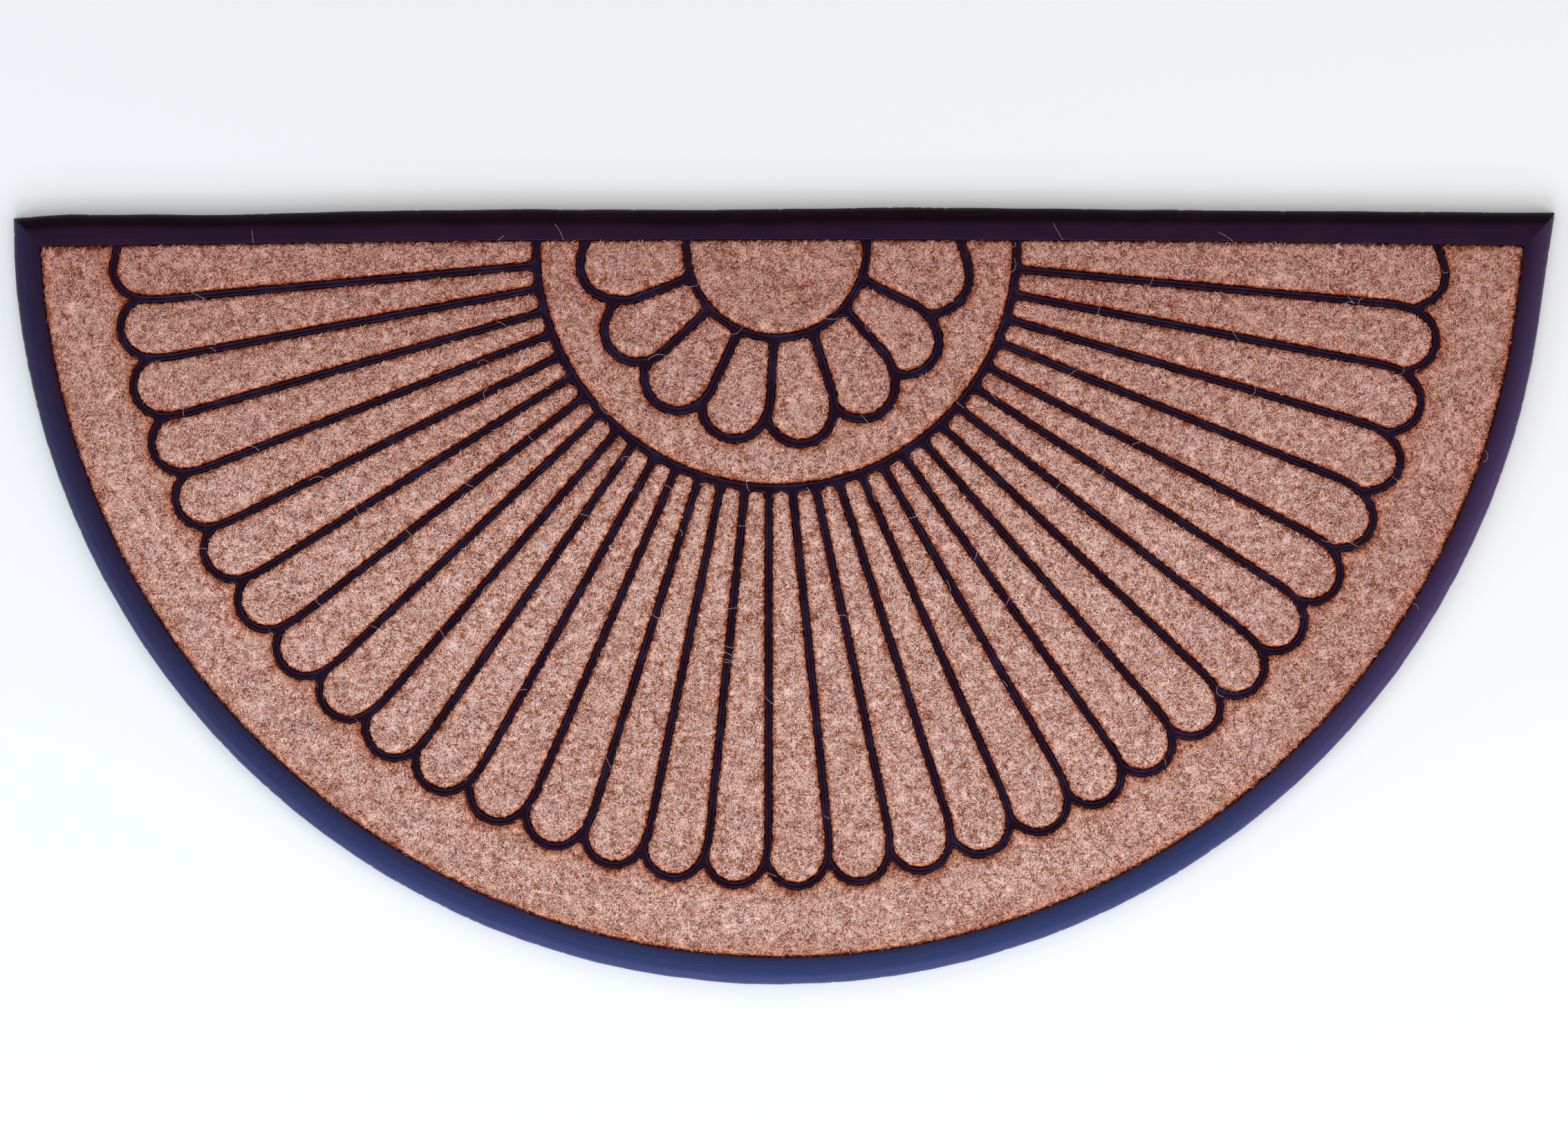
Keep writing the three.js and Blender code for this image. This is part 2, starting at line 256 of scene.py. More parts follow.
# Floor and lights; a light's share counts from the front light's power
FLOOR_SIZE = 8.0
FLOOR_GAP = 0.1 * MM
FLOOR_COLOUR = (0.93, 0.93, 0.93)
FLOOR_ROUGHNESS = 0.9
LIGHTS = [
    {
        "name": "front_light",
        "place": (0.0, -2.4, 1.05),
        "size": (2.8, 0.9),
        "share": 1.0,
        "colour": (0.82, 0.91, 1.0),
    },
    {
        "name": "left_light",
        "place": (-2.5, -1.3, 1.0),
        "size": (1.4, 0.9),
        "share": 0.8,
        "colour": (0.78, 0.89, 1.0),
    },
    {
        "name": "right_light",
        "place": (2.5, -1.1, 1.1),
        "size": (1.4, 0.9),
        "share": 0.6,
        "colour": (1.0, 0.95, 0.95),
    },
    {
        "name": "back_light",
        "place": (0.0, 2.6, 1.8),
        "size": (2.4, 0.9),
        "share": 0.25,
        "colour": (1.0, 0.95, 0.92),
    },
]


def colour_setting(name, description, default):
    """A colour that the panel offers."""
    return FloatVectorProperty(
        name=name,
        description=description,
        subtype="COLOR",
        size=3,
        min=0.0,
        max=1.0,
        default=default,
    )


def length_setting(name, description, default):
    """A length that the panel offers."""
    return FloatProperty(
        name=name,
        description=description,
        subtype="DISTANCE",
        unit="LENGTH",
        default=default,
    )


class RubberSettings(bpy.types.PropertyGroup):
    """Sizes and colours of the rubber tray."""

    colour: colour_setting(
        "Colour",
        "Blue-black of the rubber",
        (0.0140, 0.0046, 0.0125),
    )
    # Painted shade in the grooves, low on the ribs and over the straight side's outer slope; the same
    # colour makes the random sooty patches on the ribs
    shade_and_soot: colour_setting(
        "Shade_and_soot",
        "Brownish black of the rubber in the grooves and low on the slopes",
        (0.0065, 0.0014, 0.0022),
    )
    # Painted sky reflection on the round edge's outer slope; the same colour makes the random navy
    # patches on the ribs
    sheen_and_bloom: colour_setting(
        "Sheen_and_bloom",
        "Lighter navy blue of the weathered slope along the round edge",
        (0.026, 0.041, 0.117),
    )
    # Painted reflection: the purple that the sheen on the round edge's slope turns to at its right end
    plum: colour_setting(
        "Plum",
        "Purple that the weathered slope turns to at its right end",
        (0.060, 0.037, 0.100),
    )
    dust: colour_setting(
        "Dust",
        "Reddish brown of the fine dust that lies on the rubber",
        (0.024, 0.006, 0.008),
    )
    roughness: FloatProperty(
        name="Roughness",
        description="Roughness of the moulded surface",
        subtype="FACTOR",
        min=0.0,
        max=1.0,
        default=0.44,
    )
    edge_wander: length_setting(
        "Edge wander",
        "How far the trimmed outer edge strays from its line",
        0.09 * MM,
    )


class PileSettings(bpy.types.PropertyGroup):
    """Sizes and colours of the coir pile."""

    pale: colour_setting(
        "Pale fibre",
        "Colour of the palest fibre ends",
        (1.0, 0.87, 0.82),
    )
    tan: colour_setting(
        "Tan fibre",
        "Colour of most of the fibre",
        (0.86, 0.52, 0.42),
    )
    # Painted shade: the colour of the lowest tones, which the pad's body takes as the pile in shadow;
    # random dark fibres take it too
    deep: colour_setting(
        "Deep fibre",
        "Red-brown down inside the pile",
        (0.25, 0.060, 0.026),
    )
    # Painted shade: dark specks for the gaps between the fibres
    speck_shade: colour_setting(
        "Speck_shade",
        "Dark specks of shadow between the fibres",
        (0.085, 0.020, 0.010),
    )
    # Painted shade: the pile browner and darker along the ribs
    rib_shade: colour_setting(
        "Rib_shade",
        "What the fibre's colour is multiplied by along the ribs",
        (0.82, 0.42, 0.21),
    )
    # Painted shade at the back and the right, where less light falls
    shade: colour_setting(
        "Shade",
        "What the colour is multiplied by at the back and the right, where it is shadier",
        (0.84, 0.72, 0.70),
    )
    fibres_per_area: FloatProperty(
        name="Fibres",
        description="Fibre ends on each square millimetre of pile",
        min=0.0,
        max=2.0,
        default=0.74,
    )
    fibre_length: length_setting(
        "Fibre length",
        "Mean length of a fibre end that stands out of the pile",
        3.3 * MM,
    )
    fibre_width: length_setting(
        "Fibre width",
        "Width of a fibre at its thickest",
        0.56 * MM,
    )
    lump_height: length_setting(
        "Lumps",
        "Height of the soft lumps of the pile",
        0.16 * MM,
    )
    strays: IntProperty(
        name="Stray fibres",
        description="Long loose fibres that lie across the ribs and the rim",
        default=80,
    )


class StageSettings(bpy.types.PropertyGroup):
    """Camera and light."""

    camera_height: length_setting(
        "Camera height",
        "Height of the camera above the floor",
        2.4,
    )
    front_light: FloatProperty(
        name="Front light",
        description="Power of the light on the side of the round edge, in watts",
        default=47.0,
    )
    sky: FloatProperty(
        name="Sky",
        description="Strength of the even light from all around",
        default=0.52,
    )


def settings():
    """The doormat's settings on the scene."""
    return bpy.context.scene.doormat


# Closed lines in plan, as arrays of x and y

def section(node, height):
    """Closed lines where a level plane cuts a frame node, the widest first."""
    bm = bmesh.new()
    bm.from_mesh(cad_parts[node].data)
    bmesh.ops.remove_doubles(bm, verts=bm.verts, dist=FRAME_WELD)
    bmesh.ops.bisect_plane(
        bm,
        geom=bm.verts[:] + bm.edges[:] + bm.faces[:],
        dist=CUT_WELD,
        plane_co=(0, 0, height),
        plane_no=(0, 0, 1),
        clear_inner=True,
        clear_outer=True,
    )
    lines = []
    walked = set()
    for start in bm.verts:
        line = []
        ahead = [start]
        while ahead and ahead[0] not in walked:
            walked.add(ahead[0])
            line.append(ahead[0].co.xy[:])
            others = [edge.other_vert(ahead[0]) for edge in ahead[0].link_edges]
            ahead = [vert for vert in others if vert not in walked]
        if line:
            lines.append(anticlockwise(np.array(line)))
    bm.free()
    return sorted(lines, key=area_of, reverse=True)


def area_of(line):
    """Area inside a closed line, above 0 where the line runs anticlockwise."""
    after = np.roll(line, -1, axis=0)
    return np.sum(line[:, 0] * after[:, 1] - after[:, 0] * line[:, 1]) / 2


def anticlockwise(line):
    """The closed line, turned so that its inside lies on the left."""
    return line if area_of(line) > 0 else line[::-1]


def length_of(line):
    """Length round a closed line."""
    return np.linalg.norm(np.roll(line, -1, axis=0) - line, axis=1).sum()


def along(line, count, closed=True):
    """The line again with count points at even steps."""
    if closed:
        line = np.vstack([line, line[:1]])
    steps = np.linalg.norm(np.diff(line, axis=0), axis=1)
    runs = np.concatenate([[0], np.cumsum(steps)])
    wanted = np.linspace(0, runs[-1], count, endpoint=not closed)
    return np.column_stack([np.interp(wanted, runs, line[:, axis]) for axis in (0, 1)])


def softened(line, spacing, rounds):
    """The closed line at an even spacing, with its corners rounded off."""
    line = along(line, max(FEWEST_POINTS, round(length_of(line) / spacing)))
    for _ in range(rounds):
        line = (np.roll(line, 1, axis=0) + 2 * line + np.roll(line, -1, axis=0)) / 4
    return line


def outward(line):
    """Unit normals of a closed anticlockwise line, pointing out of it."""
    run = np.roll(line, -1, axis=0) - np.roll(line, 1, axis=0)
    run /= np.linalg.norm(run, axis=1)[:, None]
    return np.column_stack([run[:, 1], -run[:, 0]])


def thinned(line, longest, turn):
    """The closed line without the points that its straight stretches don't need."""
    normals = outward(line)
    kept = [0]
    for i in range(1, len(line)):
        near = np.linalg.norm(line[i] - line[kept[-1]]) < longest
        straight = normals[i] @ normals[kept[-1]] > math.cos(math.radians(turn))
        if not (near and straight):
            kept.append(i)
    return line[kept]


def ripples(points, wavelength, rng):
    """A smooth random field over the plan, about 0 with a spread of 1."""
    total = np.zeros(len(points))
    for _ in range(RIPPLE_WAVES):
        heading = rng.uniform(0, 2 * math.pi)
        number = 2 * math.pi / (wavelength * rng.uniform(*RIPPLE_LENGTHS))
        phase = rng.uniform(0, 2 * math.pi)
        total += np.cos(number * (points @ [math.cos(heading), math.sin(heading)]) + phase)
    return total * math.sqrt(2 / RIPPLE_WAVES)


# Materials

class Finish:
    """A node material in the making, with short ways to add nodes to its Principled shader."""

    def __init__(self, name):
        self.material = bpy.data.materials.new(name)
        self.material.use_nodes = True
        self.nodes = self.material.node_tree.nodes
        self.links = self.material.node_tree.links
        self.shader = self.nodes["Principled BSDF"]

    def place(self):
        """Object coordinates."""
        return self.nodes.new("ShaderNodeTexCoord").outputs["Object"]

    def apart(self, vector):
        """The three parts of a vector."""
        node = self.nodes.new("ShaderNodeSeparateXYZ")
        self.links.new(vector, node.inputs["Vector"])
        return node.outputs["X"], node.outputs["Y"], node.outputs["Z"]

    def carried(self, name):
        """The value that a mesh carries under a name."""
        node = self.nodes.new("ShaderNodeAttribute")
        node.attribute_name = name
        return node.outputs["Fac"]

    def noise(self, vector, name):
        """One of the noises, on a vector of coordinates."""
        node = self.nodes.new("ShaderNodeTexNoise")
        node.inputs["Scale"].default_value = NOISES[name]["scale"]
        node.inputs["Detail"].default_value = NOISES[name]["detail"]
        node.inputs["Roughness"].default_value = NOISE_ROUGHNESS
        self.links.new(vector, node.inputs["Vector"])
        return node.outputs["Fac"]

    def spread(self, value, low, high, to_low=0.0, to_high=1.0):
        """A value stretched from one range to another and held within it."""
        node = self.nodes.new("ShaderNodeMapRange")
        node.inputs["From Min"].default_value = low
        node.inputs["From Max"].default_value = high
        node.inputs["To Min"].default_value = to_low
        node.inputs["To Max"].default_value = to_high
        self.links.new(value, node.inputs["Value"])
        return node.outputs["Result"]

    def fill(self, socket, value):
        """A socket linked to another one, or set to a number or a colour."""
        if isinstance(value, bpy.types.NodeSocket):
            self.links.new(value, socket)
        elif socket.type == "RGBA":
            socket.default_value = (*value, 1.0)
        else:
            socket.default_value = value

    def give(self, name, value):
        """An input of the shader linked to a socket, or set to a number or a colour."""
        self.fill(self.shader.inputs[name], value)

    def mixed(self, share, first, second, blend="MIX"):
        """Two colours mixed by a share; each may be a socket or a colour."""
        node = self.nodes.new("ShaderNodeMix")
        node.data_type = "RGBA"
        node.blend_type = blend
        self.fill(node.inputs[0], share)
        self.fill(node.inputs[6], first)
        self.fill(node.inputs[7], second)
        return node.outputs[2]

    def maths(self, operation, first, second):
        """Two values joined by a maths operation."""
        node = self.nodes.new("ShaderNodeMath")
        node.operation = operation
        self.fill(node.inputs[0], first)
        self.fill(node.inputs[1], second)
        return node.outputs[0]

    def relief(self, height, depth, strength):
        """Fine relief on the shader from a height."""
        node = self.nodes.new("ShaderNodeBump")
        node.inputs["Distance"].default_value = depth
        node.inputs["Strength"].default_value = strength
        self.links.new(height, node.inputs["Height"])
        self.give("Normal", node.outputs["Normal"])


def rim_streaks(finish, across):
    """Noise drawn out along the rim."""
    run = finish.nodes.new("ShaderNodeCombineXYZ")
    finish.links.new(finish.maths("MULTIPLY", finish.carried("rim_run"), STREAK_ALONG), run.inputs["X"])
    finish.links.new(finish.maths("MULTIPLY", across, STREAK_ACROSS), run.inputs["Y"])
    return finish.noise(run.outputs["Vector"], "streaks")


def rib_patches(finish, colour, place, on_rim):
    """Navy and sooty patches on the ribs."""
    choice = settings().rubber
    on_ribs = finish.maths("SUBTRACT", 1.0, on_rim)
    patches = finish.noise(place, "patches")
    navy = finish.maths("MULTIPLY", on_ribs, finish.spread(patches, *NAVY_PATCHES))
    sooty = finish.maths("MULTIPLY", on_ribs, finish.spread(patches, *SOOTY_PATCHES))
    colour = finish.mixed(navy, colour, choice.sheen_and_bloom)
    return finish.mixed(sooty, colour, choice.shade_and_soot)


def sheen_painted(finish, colour, place, across, round_side):
    """Painted reflection: a navy sheen of the sky on the slope along the round edge, stronger to the
    front, where the light comes from, and plum at its right end.
    """
    choice = settings().rubber
    x, y, z = finish.apart(place)
    backward = finish.maths("ADD", y, finish.maths("MULTIPLY", x, SHEEN_TILT))
    fading = finish.spread(backward, *SHEEN_BACK_TO_FRONT)
    sheen_share = finish.maths("MULTIPLY", finish.spread(across, *SHEEN_SLOPE), fading)
    sheen_share = finish.maths("MULTIPLY", sheen_share, round_side)
    sheen_share = finish.maths("MULTIPLY", sheen_share, finish.spread(z, *ABOVE_FLOOR))
    sheen_colour = finish.mixed(finish.spread(x, *PLUM_X), choice.sheen_and_bloom, choice.plum)
    return finish.mixed(sheen_share, colour, sheen_colour)


def rubber_material():
    """Moulded blue-black rubber with painted shade low down and over the straight side's outer slope,
    sooty and navy patches, dust, a painted sky sheen on the round edge's slope and fine streaks.
    """
    choice = settings().rubber
    finish = Finish("moulded_rubber")
    place = finish.place()
    _, _, height = finish.apart(place)
    across = finish.carried("rim_across")
    straight_side = finish.carried("rim_side")
    on_rim = finish.maths("GREATER_THAN", finish.carried("rim_run"), WELD)
    round_side = finish.maths("SUBTRACT", on_rim, straight_side)
    streaks = rim_streaks(finish, across)
    clouds = finish.noise(place, "clouds")

    # Painted shade: low down, and over the straight side's outer slope, which faces away from the light
    shaded_straight_slope = finish.maths("MULTIPLY", finish.spread(across, *SHADED_SLOPE_EDGE), straight_side)
    unshaded = finish.maths("SUBTRACT", finish.spread(height, *UNSHADED_HEIGHTS), shaded_straight_slope)
    colour = finish.mixed(unshaded, choice.shade_and_soot, choice.colour)
    colour = rib_patches(finish, colour, place, on_rim)
    cloudy = finish.spread(clouds, *DUSTY_CLOUDS)
    dusty = finish.maths("MULTIPLY", cloudy, finish.spread(streaks, *DUSTY_STREAKS))
    colour = finish.mixed(dusty, colour, choice.dust)
    colour = sheen_painted(finish, colour, place, across, round_side)
    bright = finish.nodes.new("ShaderNodeVectorMath")
    bright.operation = "SCALE"
    finish.links.new(colour, bright.inputs[0])
    finish.links.new(finish.spread(streaks, *STREAK_LIGHT), bright.inputs["Scale"])
    finish.give("Base Color", bright.outputs["Vector"])

    rough = finish.spread(clouds, *ROUGH_CLOUDS)
    finish.give("Roughness", finish.maths("ADD", rough, choice.roughness))
    finish.give("Specular IOR Level", finish.spread(shaded_straight_slope, *SHINE_OF_SLOPE))
    finish.give("Specular Tint", SHINE_TINT)
    relief = finish.maths("MULTIPLY", streaks, STREAK_RELIEF)
    relief = finish.maths("ADD", relief, finish.noise(place, "grain"))
    finish.relief(relief, RUBBER_RELIEF_DEPTH, RUBBER_RELIEF_STRENGTH)
    return finish.material


def stroke_noise(finish, place, angle):
    """Noise drawn out into short strokes, as fine and as long as a fibre, at one angle in plan."""
    turned = finish.nodes.new("ShaderNodeVectorRotate")
    turned.rotation_type = "Z_AXIS"
    turned.inputs["Angle"].default_value = math.radians(angle)
    finish.links.new(place, turned.inputs["Vector"])
    drawn = finish.nodes.new("ShaderNodeVectorMath")
    drawn.operation = "MULTIPLY"
    finish.links.new(turned.outputs["Vector"], drawn.inputs[0])
    drawn.inputs[1].default_value = (STROKE_ALONG, STROKE_ACROSS, STROKE_ALONG)
    return finish.noise(drawn.outputs["Vector"], "strokes")


def coir_material():
    """Cut coconut fibre: pale strokes over red-brown gaps, painted as shade, with a tone for each fibre
    end, and painted shade along the ribs and at the back and the right.
    """
    choice = settings().pile
    finish = Finish("coir_pile")
    place = finish.place()
    strokes = stroke_noise(finish, place, STROKE_ANGLES[0])
    for angle in STROKE_ANGLES[1:]:
        strokes = finish.maths("MAXIMUM", strokes, stroke_noise(finish, place, angle))
    tone = finish.maths("ADD", finish.carried("tone"), finish.spread(strokes, *STROKE_TONES))
    colour = finish.mixed(finish.spread(tone, *PALE_TONES), choice.tan, choice.pale)
    colour = finish.mixed(finish.spread(tone, *DEEP_TONES), colour, choice.deep)
    # Painted shade: dark specks for the gaps between the fibres
    specks = finish.spread(finish.noise(place, "specks"), *SPECK_NOISE)
    colour = finish.mixed(specks, colour, choice.speck_shade)
    # Painted shade along the ribs, by the near_rib share
    rib_shaded = finish.mixed(1.0, colour, choice.rib_shade, "MULTIPLY")
    colour = finish.mixed(finish.carried("near_rib"), colour, rib_shaded)
    # Painted shade at the back and the right, where less light falls
    x, y, _ = finish.apart(place)
    shady = finish.maths("MAXIMUM", finish.spread(y, *SHADE_Y), finish.spread(x, *SHADE_X))
    shaded = finish.mixed(1.0, colour, choice.shade, "MULTIPLY")
    colour = finish.mixed(shady, colour, shaded)
    finish.give("Base Color", colour)
    finish.give("Roughness", COIR_ROUGHNESS)
    finish.give("Specular IOR Level", COIR_SHINE)
    finish.relief(strokes, COIR_RELIEF_DEPTH, COIR_RELIEF_STRENGTH)
    return finish.material


def material_named(name, make):
    """The material of that name, made the first time it is asked for."""
    return bpy.data.materials.get(name) or make()


# Meshes

def piece_from(name, mesh, material, slot, *nodes):
    """An object of the mat that rides on the body and stands for frame nodes."""
    piece = bpy.data.objects.new(name, mesh)
    bpy.context.scene.collection.objects.link(piece)
    mesh.materials.append(material)
    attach(piece, "root")
    if nodes:
        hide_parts(*nodes)
    return piece


def outwards(bm):
    """All faces of closed shells turned outwards."""
    bmesh.ops.recalc_face_normals(bm, faces=bm.faces)
    if bm.calc_volume(signed=True) < 0:
        bmesh.ops.reverse_faces(bm, faces=bm.faces)


def crisp(bm):
    """Edges that turn sharply shaded as hard ones."""
    for edge in bm.edges:
        if edge.calc_face_angle(0.0) > HARD_TURN:
            edge.smooth = False


def mesh_from(bm, name, smooth=True):
    """A mesh of the bmesh, which is then freed."""
    mesh = bpy.data.meshes.new(name)
    bm.to_mesh(mesh)
    bm.free()
    mesh.polygons.foreach_set("use_smooth", [smooth] * len(mesh.polygons))
    return mesh


def ring_of(bm, line, height):
    """A closed ring of edges in plan at one height."""
    verts = [bm.verts.new((x, y, height)) for x, y in line]
    return [bm.edges.new(pair) for pair in zip(verts, verts[1:] + verts[:1])]


def drawn_to(bm, verts, line, height):
    """A closed ring of points extruded to another line that has as many; gives the new points."""
    edges = [bm.edges.get(pair) for pair in zip(verts, verts[1:] + verts[:1])]
    made = bmesh.ops.extrude_edge_only(bm, edges=edges)["geom"]
    fresh = {item for item in made if isinstance(item, bmesh.types.BMVert)}
    drawn = []
    for vert, (x, y) in zip(verts, line):
        ends = [edge.other_vert(vert) for edge in vert.link_edges]
        after = next(end for end in ends if end in fresh)
        after.co = (x, y, height)
        drawn.append(after)
    return drawn


# Rubber tray

def sides_of(line):
    """The round side and the straight side of a half-round line, parted at its two corners."""
    before = line - np.roll(line, 1, axis=0)
    after = np.roll(line, -1, axis=0) - line
    turns = before[:, 0] * after[:, 1] - before[:, 1] * after[:, 0]
    turns /= np.linalg.norm(before, axis=1) * np.linalg.norm(after, axis=1)
    first, second = sorted(np.argsort(turns)[-2:])
    sides = [line[first:second + 1], np.vstack([line[second:], line[:first + 1]])]
    straight = int(np.argmin([np.linalg.norm(np.diff(side, axis=0), axis=1).sum() for side in sides]))
    return sides[1 - straight], sides[straight]


def half_round(line):
    """A half-round line again, with a set number of points on its round side and on its straight one."""
    round_side, straight_side = sides_of(line)
    return np.vstack([
        along(round_side, ROUND_POINTS + 1, closed=False)[:-1],
        along(straight_side, STRAIGHT_POINTS + 1, closed=False)[:-1],
    ])


def blurred(values, reach):
    """Values round a closed line, each the mean of its neighbourhood."""
    return sum(np.roll(values, step) for step in range(-reach, reach + 1)) / (2 * reach + 1)


def rim_lines(rng):
    """Outer and inner line of the rim, and the share of its width that the outer bevel takes."""
    outer = half_round(section("tray", OUTLINE_CUT)[0])
    inner = half_round(section("tray", RIM_CUT)[1])
    inner -= outward(inner) * WALL_PROUD
    wander = settings().rubber.edge_wander
    nicks = (rng.uniform(0, 1, len(outer)) < NICK_SHARE) * rng.uniform(*NICK_DEPTHS, len(outer))
    outer += outward(outer) * (wander * (ripples(outer, EDGE_WAVE, rng) - nicks))[:, None]
    share = np.full(len(outer), BEVEL_SHARE["straight"])
    share[:ROUND_POINTS] = BEVEL_SHARE["round"]
    return outer, inner, blurred(share, SHARE_BLUR)


def rim_section(outer, inner, bevel):
    """Shares and heights of the rim's rings: up the bevel, over the flat and its lip, down and back."""
    lip = LIP_RADIUS / np.linalg.norm(outer - inner, axis=1)
    whole = np.ones_like(lip)
    rows = []
    for step in range(BEVEL_STEPS + 1):
        angle = math.pi / 2 * step / BEVEL_STEPS
        height = RIM_FOOT + (RIM_TOP - RIM_FOOT) * math.sin(angle)
        rows.append((bevel * (1 - math.cos(angle)), height))
    for step in range(LIP_STEPS + 1):
        angle = math.pi / 2 * step / LIP_STEPS
        height = RIM_TOP - FLAT_FALL - LIP_RADIUS * (1 - math.cos(angle))
        rows.append((1 - lip * (1 - math.sin(angle)), height))
    rows.append((whole, WALL_FOOT))
    rows.append((PLATE_SHARE * whole, WALL_FOOT))
    rows.append((PLATE_SHARE * whole, FLOOR))
    rows.append((0 * whole, FLOOR))
    return rows


def add_rim(bm, outer, inner, bevel):
    """The bevelled rim, a closed ring whose corners are mitred because every ring turns at them."""
    run = bm.verts.layers.float.new("rim_run")
    across = bm.verts.layers.float.new("rim_across")
    side = bm.verts.layers.float.new("rim_side")
    steps = np.linalg.norm(np.roll(outer, -1, axis=0) - outer, axis=1)
    runs = np.concatenate([[0], np.cumsum(steps)[:-1]])
    width = np.linalg.norm(inner - outer, axis=1)
    corners = set()
    rows = rim_section(outer, inner, bevel)
    share, height = rows[0]
    start = ring_of(bm, outer + (inner - outer) * share[:, None], height)
    ring = [edge.verts[0] for edge in start]
    for share, height in rows[1:] + rows[:1]:
        ring = drawn_to(bm, ring, outer + (inner - outer) * share[:, None], height)
        for i, vert in enumerate(ring):
            vert[run] = runs[i]
            vert[across] = share[i] * width[i]
            vert[side] = float(i >= ROUND_POINTS)
        corners |= {ring[0], ring[ROUND_POINTS]}
    bmesh.ops.remove_doubles(bm, verts=bm.verts, dist=WELD)
    corners = {vert for vert in corners if vert.is_valid}
    for edge in bm.edges:
        edge.smooth = not corners.issuperset(edge.verts)


def add_plate(bm, border):
    """Base and ribs in one: the rubber between all the compartments, with a ridge along every wall."""
    groove = []
    for line in section("tray", COMPARTMENT_CUT)[1:]:
        line = thinned(softened(line, RIB_SPACING, RIB_SOFTENING), LONGEST_RIB_STEP, RIB_TURN)
        normals = outward(line)
        rings = []
        for row in RIB_SECTION:
            rings.append(ring_of(bm, line + normals * row["into"] * MM, row["height"] * MM))
        for lower, upper in zip(rings, rings[1:]):
            bmesh.ops.bridge_loops(bm, edges=lower + upper)
        bmesh.ops.contextual_create(bm, geom=rings[0])
        groove += rings[-1]
    shoulder = ring_of(bm, border, RIB_SECTION[-1]["height"] * MM)
    foot = ring_of(bm, border, FLOOR)
    bmesh.ops.bridge_loops(bm, edges=shoulder + foot)
    bmesh.ops.contextual_create(bm, geom=foot)
    bmesh.ops.triangle_fill(bm, use_beauty=True, edges=groove + shoulder, normal=(0, 0, 1))


class DOORMAT_OT_tray(bpy.types.Operator):
    """Model the rubber tray: bevelled rim, base and ridged ribs"""

    bl_idname = "doormat.tray"
    bl_label = "Rubber Tray"

    def execute(self, context):
        rng = np.random.default_rng(TRAY_SEED)
        outer, inner, bevel = rim_lines(rng)
        rim = bmesh.new()
        add_rim(rim, outer, inner, bevel)
        outwards(rim)
        crisp(rim)
        plate = bmesh.new()
        add_plate(plate, outer + (inner - outer) * PLATE_SHARE)
        outwards(plate)
        crisp(plate)
        plate_mesh = mesh_from(plate, "plate")
        rim.from_mesh(plate_mesh)
        bpy.data.meshes.remove(plate_mesh)
        mesh = mesh_from(rim, "rubber_tray")
        rubber = material_named("moulded_rubber", rubber_material)
        piece_from("rubber_tray", mesh, rubber, "rubber", "tray")
        return {"FINISHED"}


# Coir pads

def depths(line, points):
    """How deep each point lies inside a closed line; below 0 outside it."""
    tree = KDTree(len(line))
    for i, (x, y) in enumerate(line):
        tree.insert((x, y, 0), i)
    tree.balance()
    near = [tree.find((x, y, 0))[1] for x, y in points]
    gap = points - line[near]
    outside = np.sign(np.sum(gap * outward(line)[near], axis=1))
    return -outside * np.linalg.norm(gap, axis=1)


def grid_inside(line, rng):
    """Jittered points of a triangular grid that lie inside a closed line, clear of it."""
    low = line.min(axis=0)
    high = line.max(axis=0)
    row_step = GRID_SPACING * math.sqrt(3) / 2
    rows = np.arange(low[1], high[1], row_step)
    columns = np.arange(low[0], high[0], GRID_SPACING)
    x, y = np.meshgrid(columns, rows)
    x[1::2] += GRID_SPACING / 2
    points = np.column_stack([x.ravel(), y.ravel()])
    points += rng.uniform(-GRID_JITTER, GRID_JITTER, points.shape) * GRID_SPACING
    return points[depths(line, points) > GRID_CLEAR]


def pad_surface(line, rng):
    """Top of a pad's body: its points with their heights, its triangles, and the points' depths."""
    points = np.vstack([line, grid_inside(line, rng)])
    border = list(range(len(line)))
    filled = delaunay_2d_cdt([Vector(point) for point in points], [], [border], 0, WELD, True)
    placed, _, faces, _, _, sources = filled
    flat = np.array([point[:] for point in placed])
    triangles = np.array([face for face, source in zip(faces, sources) if source])
    depth = np.clip(depths(line, flat), 0, None)
    inner = np.clip(depth / EDGE_ROUND, 0, 1)
    inner = inner * inner * (3 - 2 * inner)
    lumps = sum(ripples(flat, length, rng) for length in LUMP_LENGTHS) / len(LUMP_LENGTHS)
    height = BODY_TOP - EDGE_DROP * (1 - inner) + settings().pile.lump_height * lumps * inner
    return np.column_stack([flat, height]), triangles, depth


def pad_body(points, triangles, depth, reach, rng):
    """Closed body of a pad: the lumpy top, its border drawn down to the foot, and the foot filled."""
    top = bpy.data.meshes.new("pad_top")
    top.from_pydata(points.tolist(), [], triangles.tolist())
    # Painted shade: a low tone for the pile in shadow, lower at the border for the shadowed crevice
    sunken = np.exp(-depth / CREVICE_REACH)
    tone = rng.normal(BODY_TONE, BODY_TONE_SCATTER, len(points)) + CREVICE_TONE * sunken
    give_values(top, "tone", np.clip(tone, 0, 1))
    # near_rib: the share of painted shade along the ribs
    give_values(top, "near_rib", np.exp(-depth / reach))
    bm = bmesh.new()
    bm.from_mesh(top)
    bpy.data.meshes.remove(top)
    border = [edge for edge in bm.edges if edge.is_boundary]
    made = bmesh.ops.extrude_edge_only(bm, edges=border)["geom"]
    for vert in (item for item in made if isinstance(item, bmesh.types.BMVert)):
        vert.co.z = PAD_FOOT
    foot = [item for item in made if isinstance(item, bmesh.types.BMEdge) and item.is_boundary]
    bmesh.ops.contextual_create(bm, geom=foot)
    outwards(bm)
    return bm


